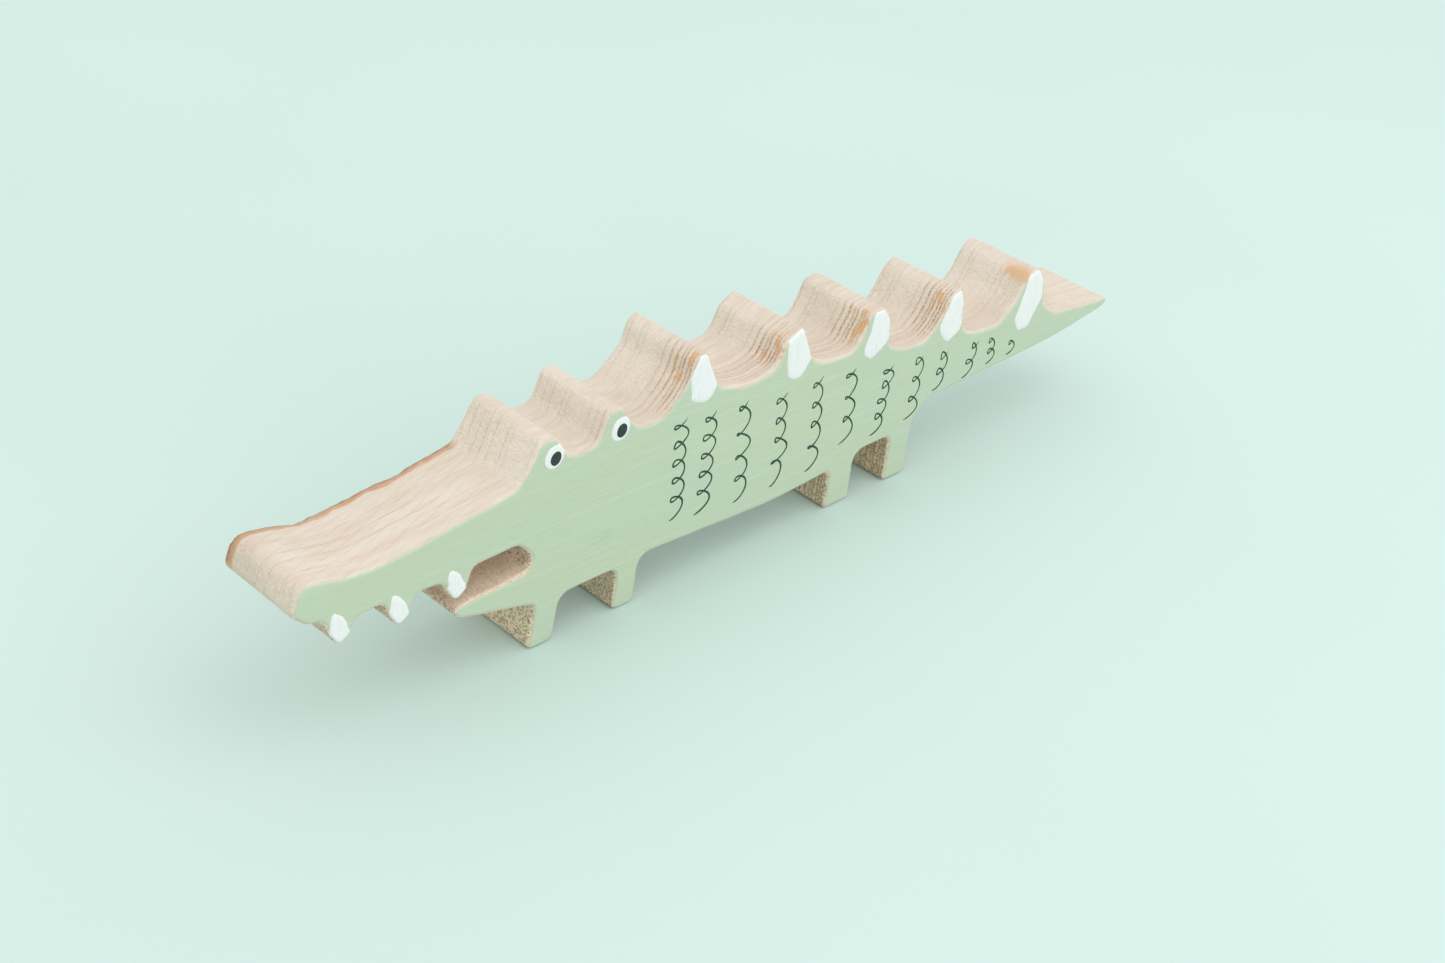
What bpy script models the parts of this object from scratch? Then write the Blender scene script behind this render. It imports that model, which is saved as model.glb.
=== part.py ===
"""Painted wooden crocodile, sawn in profile from one board and standing on four short legs.

The board is a single piece. Every coat that is laid on it is its own thin solid: the face
colour, the teeth, the white tips of the back plates, the eyes and the pen loops. Both faces
carry the same decoration. X runs from snout to tail, Y through the board, Z up.
All lengths below are in millimetres until they reach a mesh.
"""
import math

import bpy

MM = 0.001
COLLECTION = "wooden_crocodile"

# Driving sizes
BOARD_THICKNESS = 24.0
COAT = 0.2            # thickness of each paint coat
GAP = 0.3             # clearance between two coats
ARRIS = 0.8           # rounding of the sawn edges
COAT_INSET = 1.0      # how far the face colour stops short of the outline
ARC_STEP = math.radians(30)
WELD_DISTANCE = 0.00001
SHARP_ANGLE = math.radians(60)

# Outline corners on a half-millimetre grid, clockwise from the snout: (x, z, fillet radius)
SNOUT = [(-150.5, 39.0, 2.0), (-148.0, 46.5, 3.0), (-129.5, 43.0, 18.0), (-110.0, 45.5, 40.0),
         (-89.0, 48.5, 2.0)]
BROWS = [(-82.5, 59.0, 1.0), (-78.5, 58.5, 1.0), (-74.5, 52.5, 2.0), (-70.0, 51.5, 4.0),
         (-65.0, 52.0, 2.0), (-62.5, 60.0, 1.5), (-58.5, 60.0, 1.0), (-55.5, 55.5, 2.0),
         (-52.0, 52.5, 3.0)]
PLATES = [
    [(-45.0, 51.5, 7.0), (-36.5, 59.5, 2.5), (-35.5, 64.5, 2.0), (-32.0, 67.0, 1.0),
     (-25.5, 54.5, 4.0)],
    [(-14.0, 51.5, 12.0), (-5.0, 53.0, 3.0), (-2.0, 60.0, 2.0), (3.5, 63.0, 1.0),
     (9.0, 52.0, 2.5)],
    [(15.0, 49.0, 8.0), (26.0, 48.5, 4.0), (29.5, 54.5, 3.0), (31.0, 58.5, 1.5),
     (36.5, 59.0, 1.0), (39.5, 54.5, 2.0), (41.0, 46.0, 2.5)],
    [(46.5, 43.5, 8.0), (57.0, 42.5, 4.0), (61.5, 46.0, 2.5), (66.0, 53.5, 2.0),
     (69.5, 55.5, 1.0), (72.5, 51.0, 1.5), (72.0, 47.5, 1.5), (74.5, 41.0, 2.0)],
    [(80.0, 38.5, 10.0), (91.5, 37.5, 5.0), (98.5, 43.5, 3.0), (102.0, 50.0, 1.5),
     (106.0, 52.0, 1.0), (111.0, 47.5, 2.0), (113.0, 38.5, 3.0)],
]
TAIL = [(120.0, 33.5, 8.0), (134.0, 32.0, 30.0), (150.5, 30.5, 1.0), (145.5, 27.5, 4.0),
        (124.0, 24.5, 60.0), (104.0, 23.5, 30.0), (64.0, 22.5, 4.0), (58.0, 17.5, 4.0)]
FOOT_CORNER = 1.0     # fillet at a foot's lower corners
REAR_LEG = [(58.5, 0.0, FOOT_CORNER), (49.0, 0.0, FOOT_CORNER), (49.0, 15.0, 2.0)]
MIDDLE_LEG = [(34.0, 15.0, 3.0), (34.5, 0.0, FOOT_CORNER), (24.0, 0.0, FOOT_CORNER),
              (24.5, 12.5, 2.5)]
BELLY = [(1.0, 11.0, 60.0)]
ELBOW_LEG = [(-47.0, 13.5, 3.0), (-47.5, 0.0, FOOT_CORNER), (-55.0, 0.0, FOOT_CORNER),
             (-54.5, 12.5, 2.0)]
FRONT_LEG = [(-73.0, 12.5, 3.0), (-74.5, 0.0, FOOT_CORNER), (-82.5, 0.0, FOOT_CORNER),
             (-81.0, 13.0, 2.0)]
JAW = [(-93.0, 16.0, 20.0), (-103.5, 18.5, 5.0), (-107.5, 22.0, 1.0), (-102.0, 23.0, 3.0),
       (-84.5, 24.0, 2.5), (-83.0, 27.5, 2.0), (-87.5, 32.5, 2.0), (-101.0, 32.0, 1.0)]

# One tooth and the leaf of paint on it, as corners from the tooth's own tip
TOOTH_TIPS = [(-106.0, 24.5), (-122.0, 24.5), (-138.0, 26.5)]
TOOTH = [(3.5, 2.5, 1.0), (0.0, 0.0, 1.0), (-3.0, 4.5, 1.0)]
TOOTH_LEAF = [(-1.5, 9.0, 0.5), (1.0, 6.5, 1.5), (2.5, 3.0, 0.5), (0.0, 1.0, 0.5),
              (-2.0, 4.5, 1.0), (-2.0, 7.0, 1.5)]
GUM_NOTCHES = [
    [(-109.5, 31.0, 1.5), (-117.0, 31.5, 1.5)],
    [(-126.0, 32.5, 1.5), (-133.5, 32.0, 1.5)],
    [(-142.5, 35.0, 1.0), (-145.5, 35.0, 1.0)],
]

# White tips of the plates, as corners inside the outline: (x, z, fillet radius)
PLATE_PAINT = [
    [(-34.0, 64.0, 1.0), (-32.5, 65.5, 0.5), (-27.0, 56.0, 2.0), (-29.0, 52.5, 2.0),
     (-34.5, 53.5, 2.5), (-35.5, 59.5, 2.0)],
    [(-1.0, 60.5, 1.0), (3.0, 62.0, 0.5), (8.0, 52.5, 2.0), (4.5, 48.0, 2.0),
     (0.5, 49.5, 2.5), (-0.5, 54.0, 3.0)],
    [(32.5, 57.5, 1.0), (36.0, 57.5, 1.0), (38.5, 54.0, 1.5), (39.5, 48.5, 2.0),
     (33.5, 44.5, 2.0), (30.5, 47.5, 2.0), (32.5, 53.0, 3.0)],
    [(67.0, 53.0, 1.0), (69.5, 54.0, 0.5), (71.0, 50.5, 1.0), (71.5, 46.0, 2.0),
     (72.5, 42.5, 2.0), (67.0, 39.5, 2.0), (63.0, 45.0, 2.0)],
    [(103.0, 49.5, 1.0), (106.0, 50.5, 1.0), (109.5, 47.0, 1.0), (110.5, 41.0, 2.5),
     (106.0, 33.0, 2.0), (102.0, 33.5, 2.0), (100.0, 37.0, 2.0)],
]
EYES = [(-79.0, 53.5), (-58.5, 54.0)]
EYE_RADII = (3.0, 3.25)
PUPIL_CENTRE = (0.25, -0.5)     # from the eye's own centre
PUPIL_RADII = (1.7, 1.9)
EYE_SEGMENTS = 20

# Pen loops, in whole millimetres: (middle x, lean of the top, bottom z, top z, number of loops)
PEN_LOOPS = [
    (-37, 0, 21, 49, 5), (-27, 2, 19, 48, 5), (-14, -2, 17, 47, 5), (0, 0, 17, 45, 5),
    (14, -1, 17, 45, 5), (27, 0, 20, 43, 4), (42, 4, 19, 39, 4), (56, 2, 19, 38, 4),
    (67, 3, 25, 36, 3), (81, 5, 25, 35, 2), (90, 1, 26, 34, 2), (100, 2, 26, 30, 1),
]
PEN_WIDTH = 0.7
PEN_SWING = 0.9
STEPS_PER_LOOP = 5

# Fillets
STRAIGHT = math.radians(2)      # a corner that turns less than this has no fillet
REACH_SHARE = 0.46              # most of an edge that one fillet may take up
LEAST_RADIUS = 0.2              # of a corner that has been moved inwards

COLOURS = {
    "bare_wood": ((0.56, 0.42, 0.31), 0.72),
    "face_green": ((0.36, 0.45, 0.32), 0.66),
    "white_paint": ((0.72, 0.74, 0.70), 0.55),
    "pupil_paint": ((0.030, 0.040, 0.035), 0.40),
    "pen_ink": ((0.035, 0.090, 0.050), 0.50),
}


def body_corners():
    """Return the whole outline as one closed clockwise ring of corners."""
    ring = SNOUT + BROWS
    for plate in PLATES:
        ring = ring + plate
    ring = ring + TAIL + REAR_LEG + MIDDLE_LEG + BELLY + ELBOW_LEG + FRONT_LEG + JAW
    for tip, notch in zip(TOOTH_TIPS, GUM_NOTCHES):
        ring = ring + moved(TOOTH, tip) + notch
    return ring


def moved(corners, place):
    """Return corners shifted so that their own origin comes to a place."""
    return [(x + place[0], z + place[1], radius) for x, z, radius in corners]


def unit(ax, az, bx, bz):
    """Return the direction from a to b and the distance between them."""
    dx, dz = bx - ax, bz - az
    length = math.hypot(dx, dz)
    return dx / length, dz / length, length


def filleted(corners):
    """Turn corners with radii into outline points, with each fillet as an arc."""
    points = []
    count = len(corners)
    for i, (x, z, radius) in enumerate(corners):
        before, after = corners[i - 1], corners[(i + 1) % count]
        ux, uz, reach_in = unit(x, z, before[0], before[1])
        vx, vz, reach_out = unit(x, z, after[0], after[1])
        half = math.acos(max(-1.0, min(1.0, ux * vx + uz * vz))) / 2
        turn = math.pi - 2 * half
        if turn < STRAIGHT:
            points.append((x, z))
            continue
        setback = min(radius / math.tan(half), REACH_SHARE * min(reach_in, reach_out))
        radius = setback * math.tan(half)
        bx, bz, _ = unit(0, 0, ux + vx, uz + vz)
        cx, cz = x + bx * radius / math.sin(half), z + bz * radius / math.sin(half)
        start = math.atan2(z + uz * setback - cz, x + ux * setback - cx)
        end = math.atan2(z + vz * setback - cz, x + vx * setback - cx)
        sweep = (end - start + math.pi) % (2 * math.pi) - math.pi
        steps = max(1, math.ceil(abs(sweep) / ARC_STEP))
        for k in range(steps + 1):
            angle = start + sweep * k / steps
            points.append((cx + radius * math.cos(angle), cz + radius * math.sin(angle)))
    return points


def inset(corners, distance):
    """Move every edge of a clockwise ring inwards and return the new corners."""
    result = []
    count = len(corners)
    for i, (x, z, radius) in enumerate(corners):
        before, after = corners[i - 1], corners[(i + 1) % count]
        ux, uz, _ = unit(before[0], before[1], x, z)
        vx, vz, _ = unit(x, z, after[0], after[1])
        nx, nz = uz + vz, -(ux + vx)
        scale = distance / (1 + ux * vx + uz * vz)
        convex = ux * vz - uz * vx < 0
        new_radius = max(radius - distance, LEAST_RADIUS) if convex else radius + distance
        result.append((x + nx * scale, z + nz * scale, new_radius))
    return result


def ellipse(centre, radii, segments):
    """Return the points of an ellipse."""
    angles = [2 * math.pi * k / segments for k in range(segments)]
    return [(centre[0] + radii[0] * math.cos(a), centre[1] + radii[1] * math.sin(a))
            for a in angles]


def pen_stroke(middle_x, lean, bottom_z, top_z, loops):
    """Return the outline of one wavy pen stroke that runs down the flank."""
    steps = loops * STEPS_PER_LOOP
    line = []
    for k in range(steps + 1):
        t = k / steps
        sway = PEN_SWING * math.sin(2 * math.pi * loops * t)
        line.append((middle_x + lean * (0.5 - t) + sway, top_z + (bottom_z - top_z) * t))
    right, left = [], []
    for k, (x, z) in enumerate(line):
        ax, az = line[max(k - 1, 0)]
        bx, bz = line[min(k + 1, steps)]
        dx, dz, _ = unit(ax, az, bx, bz)
        half = PEN_WIDTH / 2
        right.append((x - dz * half, z + dx * half))
        left.append((x + dz * half, z - dx * half))
    return right + left[::-1]


def centre_of_length(points):
    """Return the middle of the outline along X."""
    xs = [x for x, _ in points]
    return (min(xs) + max(xs)) / 2


BODY = filleted(body_corners())
MIDDLE = centre_of_length(BODY)


def start_clean():
    """Remove every object and return a new collection for the parts."""
    for thing in list(bpy.data.objects):
        bpy.data.objects.remove(thing, do_unlink=True)
    collection = bpy.data.collections.new(COLLECTION)
    bpy.context.scene.collection.children.link(collection)
    return collection


def make_materials():
    """Return one Principled material for each finish."""
    finishes = {}
    for name, (colour, roughness) in COLOURS.items():
        material = bpy.data.materials.new(name)
        material.use_nodes = True
        shader = material.node_tree.nodes["Principled BSDF"]
        shader.inputs["Base Color"].default_value = (*colour, 1.0)
        shader.inputs["Roughness"].default_value = roughness
        shader.inputs["Metallic"].default_value = 0.0
        finishes[name] = material
    return finishes


def slab(collection, name, rings, middle_y, thickness, material):
    """Make a flat piece from closed rings in the XZ plane, centred on middle_y."""
    curve = bpy.data.curves.new(name, "CURVE")
    curve.dimensions = "2D"
    curve.fill_mode = "BOTH"
    curve.extrude = thickness / 2 * MM
    for ring in rings:
        spline = curve.splines.new("POLY")
        spline.points.add(len(ring) - 1)
        for point, (x, z) in zip(spline.points, ring):
            point.co = ((x - MIDDLE) * MM, z * MM, 0.0, 1.0)
        spline.use_cyclic_u = True
    curve.materials.append(material)
    piece = bpy.data.objects.new(name, curve)
    piece.location = (0.0, middle_y * MM, 0.0)
    piece.rotation_euler = (math.radians(90), 0.0, 0.0)
    collection.objects.link(piece)
    return piece


def round_arrises(piece):
    """Weld the slab's faces together and take the sharpness off its sawn edges."""
    weld = piece.modifiers.new("weld", "WELD")
    weld.merge_threshold = WELD_DISTANCE
    bevel = piece.modifiers.new("arris", "BEVEL")
    bevel.width = ARRIS * MM
    bevel.segments = 1
    bevel.limit_method = "ANGLE"
    bevel.angle_limit = SHARP_ANGLE


def dress_face(collection, finishes, side, direction):
    """Lay every coat on one face of the board.

    direction is -1 for the face towards -Y and +1 for the other one.
    """
    ground_y = direction * (BOARD_THICKNESS / 2 + GAP + COAT / 2)
    detail_y = ground_y + direction * (GAP + COAT)

    def coat(name, rings, y, finish):
        slab(collection, f"{side}_{name}", rings, y, COAT, finishes[finish])

    coat("face_colour", [filleted(inset(body_corners(), COAT_INSET))], ground_y, "face_green")
    for i, tip in enumerate(TOOTH_TIPS, start=1):
        coat(f"tooth_{i}", [filleted(moved(TOOTH_LEAF, tip))], detail_y, "white_paint")
    for i, corners in enumerate(PLATE_PAINT, start=1):
        coat(f"plate_tip_{i}", [filleted(corners)], detail_y, "white_paint")
    for i, (x, z) in enumerate(EYES, start=1):
        pupil = (x + PUPIL_CENTRE[0], z + PUPIL_CENTRE[1])
        hole = (PUPIL_RADII[0] + GAP, PUPIL_RADII[1] + GAP)
        white = [ellipse((x, z), EYE_RADII, EYE_SEGMENTS), ellipse(pupil, hole, EYE_SEGMENTS)]
        coat(f"eye_white_{i}", white, detail_y, "white_paint")
        coat(f"pupil_{i}", [ellipse(pupil, PUPIL_RADII, EYE_SEGMENTS)], detail_y, "pupil_paint")
    for i, stroke in enumerate(PEN_LOOPS, start=1):
        coat(f"pen_loops_{i}", [pen_stroke(*stroke)], detail_y, "pen_ink")


def build():
    """Make the board and the coats on both of its faces."""
    collection = start_clean()
    finishes = make_materials()
    board = slab(collection, "board", [BODY], 0.0, BOARD_THICKNESS, finishes["bare_wood"])
    round_arrises(board)
    dress_face(collection, finishes, "front", -1)
    dress_face(collection, finishes, "back", 1)


build()
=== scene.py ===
"""Looks of a painted wooden crocodile: one sawn board, its coats of paint and its pen loops."""
from __future__ import annotations

import logging
import math
from dataclasses import dataclass, field
from enum import Enum

import bmesh
import bpy
import numpy as np
from mathutils import Matrix, Vector, noise


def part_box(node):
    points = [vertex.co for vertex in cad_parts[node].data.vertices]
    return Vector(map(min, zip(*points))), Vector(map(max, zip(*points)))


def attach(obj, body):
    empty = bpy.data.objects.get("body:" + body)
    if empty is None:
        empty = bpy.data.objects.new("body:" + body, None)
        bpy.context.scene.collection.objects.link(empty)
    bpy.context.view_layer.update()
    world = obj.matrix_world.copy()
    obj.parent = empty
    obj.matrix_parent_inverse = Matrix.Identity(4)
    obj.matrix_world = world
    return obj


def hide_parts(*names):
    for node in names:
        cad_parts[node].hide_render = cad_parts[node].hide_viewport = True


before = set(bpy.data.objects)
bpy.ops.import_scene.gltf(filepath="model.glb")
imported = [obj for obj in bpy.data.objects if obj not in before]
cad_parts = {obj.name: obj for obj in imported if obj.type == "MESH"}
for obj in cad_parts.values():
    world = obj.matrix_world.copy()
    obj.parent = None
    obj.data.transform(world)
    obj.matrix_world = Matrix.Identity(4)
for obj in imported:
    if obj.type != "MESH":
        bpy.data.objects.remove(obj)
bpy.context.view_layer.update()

logging.basicConfig(level=logging.INFO, format="%(message)s")
LOG = logging.getLogger("crocodile")

MM = 0.001
BODY = "root"

# Loops in each pen run, and which way its top leans (1 towards the tail), from head to tail.
CURLS = (5, 5, 4, 4, 4, 3, 4, 3, 2, 2, 2, 1)
LEANS = (-1, 1, -1, 1, -1, 1, 1, 1, 1, 1, 1, 1)

OPEN_RADIUS = 50.0       # room of an outline's point that nothing faces, in millimetres
SAFE_SHARE = 0.85        # part of the room that a ring may move in by

Colour = tuple[float, float, float]
Pair = tuple[float, float]


class Side(Enum):
    """The two broad faces of the board, with the sign of their outward Y."""

    FRONT = -1
    BACK = 1

    @property
    def label(self) -> str:
        """Return the word that the face's nodes start with."""
        return self.name.lower()


# --------------------------------------------------
# Shader building
# --------------------------------------------------

class Wire:
    """A node output that takes part in arithmetic."""

    def __init__(self, recipe: "Recipe", socket: bpy.types.NodeSocket) -> None:
        """Keep the socket and the recipe it belongs to."""
        self.recipe = recipe
        self.socket = socket

    def math(self, operation: str, *others: "Wire | float") -> "Wire":
        """Add one Math node.

        Args:
            operation: The Math node's operation.
            others: The operands after this one.

        Returns:
            The node's output.
        """
        values = {i: value for i, value in enumerate((self, *others))}
        return self.recipe.node("ShaderNodeMath", {"operation": operation}, values)

    def __add__(self, other: "Wire | float") -> "Wire":
        """Return self + other."""
        return self.math("ADD", other)

    __radd__ = __add__

    def __mul__(self, other: "Wire | float") -> "Wire":
        """Return self * other."""
        return self.math("MULTIPLY", other)

    def __sub__(self, other: "Wire | float") -> "Wire":
        """Return self - other."""
        return self.math("SUBTRACT", other)

    def __rsub__(self, other: float) -> "Wire":
        """Return other - self."""
        return self.recipe.node("ShaderNodeMath", {"operation": "SUBTRACT"}, {0: other, 1: self})

    def __abs__(self) -> "Wire":
        """Return the absolute value."""
        return self.math("ABSOLUTE")

    def step(self, low: float, high: float) -> "Wire":
        """Return a smooth rise from 0 at low to 1 at high.

        Args:
            low: The value that gives 0.
            high: The value that gives 1; it may be below low.

        Returns:
            The mask.
        """
        flip = high < low
        first, last = (high, low) if flip else (low, high)
        ends = {"From Min": first, "From Max": last,
                "To Min": 1.0 if flip else 0.0, "To Max": 0.0 if flip else 1.0}
        return self.recipe.node("ShaderNodeMapRange", {"interpolation_type": "SMOOTHSTEP"},
                                {"Value": self, **ends})

    def between(self, rise: Pair, fall: Pair) -> "Wire":
        """Return a mask that comes up over one pair of values and goes down over another."""
        return self.step(*rise) * self.step(*fall)

    def lifted(self, least: float) -> "Wire":
        """Return a mask whose 0 becomes least, while its 1 stays."""
        return self * (1 - least) + least


@dataclass(frozen=True)
class Grain:
    """A noise pattern, and the two levels that a mask made from it fades between."""

    cells: tuple[float, float, float]    # per millimetre along each axis
    layers: float = 2.0
    rough: float = 0.5                   # strength of the finer layers
    shift: float = 0.0                   # moves the pattern, so that two are unlike
    low: float = 0.0                     # the level that gives 0
    high: float = 1.0                    # the level that gives 1; it may be below low

    def fade(self, pattern: Wire) -> Wire:
        """Return the mask made from the pattern."""
        return pattern.step(self.low, self.high)


class Recipe:
    """A material under construction."""

    def __init__(self, name: str) -> None:
        """Start an empty material with one Principled shader.

        Args:
            name: The material's name.
        """
        self.material = bpy.data.materials.new(name)
        self.material.use_nodes = True
        self.tree = self.material.node_tree
        self.shader = self.tree.nodes["Principled BSDF"]
        coordinates = self.tree.nodes.new("ShaderNodeTexCoord")
        self.normal = Wire(self, coordinates.outputs["Normal"])
        self.place = self.node("ShaderNodeVectorMath", {"operation": "SCALE"},
                               {0: Wire(self, coordinates.outputs["Object"]), "Scale": 1 / MM})

    def node(self, kind: str, settings: dict, inputs: dict) -> Wire:
        """Add a node, set it up, then fill its sockets.

        Args:
            kind: The node's type.
            settings: Attributes to set first; "stops" fills a colour ramp.
            inputs: Socket name or number to a wire or a value.

        Returns:
            Its first output.
        """
        made = self.tree.nodes.new(kind)
        for key, value in settings.items():
            if key == "stops":
                self.fill_ramp(made.color_ramp, value)
            else:
                setattr(made, key, value)
        for key, value in inputs.items():
            if isinstance(value, Wire):
                self.tree.links.new(value.socket, made.inputs[key])
            else:
                made.inputs[key].default_value = value
        return Wire(self, made.outputs[0])

    @staticmethod
    def fill_ramp(ramp: bpy.types.ColorRamp, stops: list[tuple[float, float]]) -> None:
        """Set a grey ramp's stops.

        Args:
            ramp: The ramp to fill.
            stops: Position and grey value of each stop, in order.
        """
        while len(ramp.elements) < len(stops):
            ramp.elements.new(1.0)
        for element, (position, grey) in zip(ramp.elements, stops):
            element.position = position
            element.color = (grey, grey, grey, 1.0)

    def stretched(self, scale: tuple[float, float, float]) -> Wire:
        """Return the place in millimetres with each axis scaled."""
        return self.node("ShaderNodeVectorMath", {"operation": "MULTIPLY"}, {0: self.place, 1: scale})

    def axes(self, vector: Wire) -> tuple[Wire, Wire, Wire]:
        """Split a vector.

        Args:
            vector: The vector.

        Returns:
            Its three parts.
        """
        split = self.tree.nodes.new("ShaderNodeSeparateXYZ")
        self.tree.links.new(vector.socket, split.inputs[0])
        return tuple(Wire(self, part) for part in split.outputs)

    def noise(self, grain: Grain) -> Wire:
        """Add a noise pattern.

        Args:
            grain: The pattern.

        Returns:
            Its value, about 0.5 on average.
        """
        where = self.stretched(grain.cells)
        if grain.shift:
            where = self.node("ShaderNodeVectorMath", {"operation": "ADD"},
                              {0: where, 1: (grain.shift, grain.shift * 0.7, -grain.shift)})
        return self.node("ShaderNodeTexNoise", {}, {"Vector": where, "Scale": 1.0,
                                                    "Detail": grain.layers, "Roughness": grain.rough})

    def patches(self, grain: Grain) -> Wire:
        """Return the mask that a noise pattern gives."""
        return grain.fade(self.noise(grain))

    def swing(self, grain: Grain, reach: float) -> Wire:
        """Return a noise pattern that swings about 0, with reach from end to end."""
        return (self.noise(grain) - 0.5) * reach

    def blend(self, mask: Wire | float, low: Wire | tuple, high: Wire | tuple) -> Wire:
        """Mix two colours.

        Args:
            mask: 0 gives low and 1 gives high.
            low: The first colour.
            high: The second colour.

        Returns:
            The mixed colour.
        """
        made = self.tree.nodes.new("ShaderNodeMix")
        made.data_type = "RGBA"
        first, second = made.inputs[6], made.inputs[7]      # the node's two colour sockets
        for socket, value in ((made.inputs["Factor"], mask), (first, low), (second, high)):
            if isinstance(value, Wire):
                self.tree.links.new(value.socket, socket)
            elif isinstance(value, tuple):
                socket.default_value = (*value, 1.0)
            else:
                socket.default_value = value
        return Wire(self, made.outputs[2])

    def finish(self, colour: Wire, roughness: Wire, relief: Wire, depth: float,
               specular: float = 0.3) -> bpy.types.Material:
        """Connect the shader.

        Args:
            colour: The base colour.
            roughness: The roughness.
            relief: Height of the surface, 0 to 1.
            depth: Height in metres of a relief of 1.
            specular: Strength of the surface's shine.

        Returns:
            The finished material.
        """
        bump = self.node("ShaderNodeBump", {}, {"Height": relief, "Distance": depth, "Strength": 1.0})
        for name, wire in (("Base Color", colour), ("Roughness", roughness), ("Normal", bump)):
            self.tree.links.new(wire.socket, self.shader.inputs[name])
        self.shader.inputs["Specular IOR Level"].default_value = specular
        return self.material


# --------------------------------------------------
# Finishes
# --------------------------------------------------

@dataclass(frozen=True)
class BareWood:
    """Sawn pale wood whose year rings lie nearly parallel to the broad faces.

    Places are in millimetres. A pair holds the value that gives 0 and the value that gives 1.
    """

    long_grain: Colour = (0.655, 0.600, 0.522)
    rosy_grain: Colour = (0.630, 0.535, 0.455)
    end_grain: Colour = (0.735, 0.670, 0.580)
    porous: Colour = (0.800, 0.720, 0.520)
    throat: Colour = (0.760, 0.620, 0.490)
    # darker wood tone for the saw hatch, fibre and grime; at the snout end it is painted shade
    shadow: Colour = (0.500, 0.390, 0.280)
    ring: Colour = (0.400, 0.240, 0.130)
    pore: Colour = (0.200, 0.120, 0.060)
    ochre: Colour = (0.620, 0.345, 0.150)
    wane_brown: Colour = (0.470, 0.245, 0.105)
    bark: Colour = (0.260, 0.115, 0.040)

    rings: tuple[Pair, ...] = (          # depth and strength of each year ring
        (-11.3, 0.80), (-10.3, 1.0), (-9.3, 0.85), (-7.9, 1.0), (-6.9, 0.70), (-5.3, 0.95),
        (-3.3, 0.70), (-1.0, 0.40), (6.1, 0.45), (7.6, 0.55))
    first: float = -14.0                 # depth where the ramp of rings starts
    span: float = 60.0                   # depth that the ramp covers
    ring_rise: float = 0.62              # depth over which a ring darkens
    ring_fall: float = 0.28              # and over which it ends
    ring_strength: float = 0.70
    dense_strength: float = 0.75         # added where the rings are dense
    flat_strength: float = 0.46          # share of the rings that shows on long grain
    level_from: float = -10.0            # the rings lie level from here to the tail
    lean: float = 0.0018                 # how fast they run out of the front face towards the snout
    sway: Grain = Grain((0.014, 0.0, 0.028), 1.0)
    sway_reach: float = 3.0
    ripple: Grain = Grain((0.080, 0.02, 0.130), shift=3.1)
    ripple_reach: float = 1.4
    dots: Grain = Grain((1.9, 2.4, 1.9), 2.0, 0.7, 7.7, 0.40, 0.58)
    fading: Grain = Grain((0.05, 0.10, 0.07), 1.0, shift=11.0, low=0.30, high=0.58)
    pale_spacing: float = 1.25           # half the distance between the faint rings at the back
    pale_width: Pair = (0.95, 1.22)
    pale_depth: Pair = (9.0, 11.0)
    pale_strength: float = 0.42
    dense_x: Pair = (-52.0, -42.0)       # behind the eyes, near the front, the rings are strong
    dense_y: Pair = (2.0, -2.0)
    dense_slant: float = 0.03
    thin_x: Pair = (74.0, 92.0)          # and they thin out again towards the tail
    thinning: float = 1.4
    dots_least: float = 0.22             # strength of a ring between its dots
    fading_least: float = 0.50           # and where it fades

    steep: Pair = (0.25, 0.85)           # how far along X a surface faces, to show end grain
    low: Pair = (27.0, 14.0)             # height under which the wood is coarse
    gullet_x: Pair = (-81.0, -83.0)
    gullet_z: Pair = (34.4, 33.0)
    # the snout end: its faint rings thin out there, and it gets painted shade
    tip: Pair = (-143.0, -147.5)
    streak: Grain = Grain((0.05, 0.7, 0.25), 3.0, 0.6, 1.7, 0.40, 0.64)
    fibre: Grain = Grain((0.30, 3.4, 1.0), 3.0, 0.65, 5.0, 0.54, 0.40)
    hatch: Grain = Grain((4.2, 0.50, 4.2), 1.0, 0.5, 9.0, 0.54, 0.42)
    grime: Grain = Grain((0.035, 0.06, 0.05), 3.0, 0.6, 13.0, 0.60, 0.38)
    hatch_shade: float = 0.20
    fibre_shade: float = 0.16
    grime_shade: float = 0.16
    # painted shade on the snout end, which faces away from the key lamp
    painted_snout_end_shade: float = 0.18

    fine_holes: Grain = Grain((2.8, 2.8, 2.8), 2.0, 0.75, 21.0, 0.45, 0.38)
    wide_holes: Grain = Grain((1.8, 1.3, 1.8), 3.0, 0.7, 25.0, 0.50, 0.41)
    fine_strength: float = 0.16
    wide_strength: float = 0.66
    gullet_strength: float = 0.40

    snout_lines: tuple[float, ...] = (-7.2, -2.4, 0.8, 4.6)
    snout: Pair = (-86.0, -92.0)
    line_width: Pair = (0.34, 0.08)
    line_strength: float = 0.22
    broken: Grain = Grain((0.06, 0.3, 0.06), 3.0, 0.7, 27.0, 0.40, 0.58)

    stain: Grain = Grain((0.24, 0.30, 0.24), 3.0, 0.6, 31.0, 0.53, 0.61)
    stain_slope: Pair = (-0.25, -0.6)
    stain_x: Pair = (-41.0, -39.0)
    stain_y: Pair = (-5.2, -7.4)
    stain_z: Pair = (46.0, 50.0)
    stain_strength: float = 0.72
    last_plate: Pair = (86.0, 98.0)      # the last plate's stain is larger
    last_reach: float = 2.2
    last_spread: float = 0.13

    waver: Grain = Grain((0.09, 0.0, 0.0), 3.0, 0.6, 17.0)
    waver_reach: float = 4.4
    wane_x: Pair = (-87.0, -90.0)
    wane_y: Pair = (9.3, 10.1)
    wane_z: Pair = (38.0, 41.0)
    rim: Pair = (10.4, 11.7)
    wane_fibre: Pair = (0.35, 0.6)
    wane_strength: float = 0.55
    wane_streaks: float = 0.35           # added where the fibre shows

    dullness: float = 0.70
    relief_depth: float = 0.00018
    shine: float = 0.22

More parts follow.
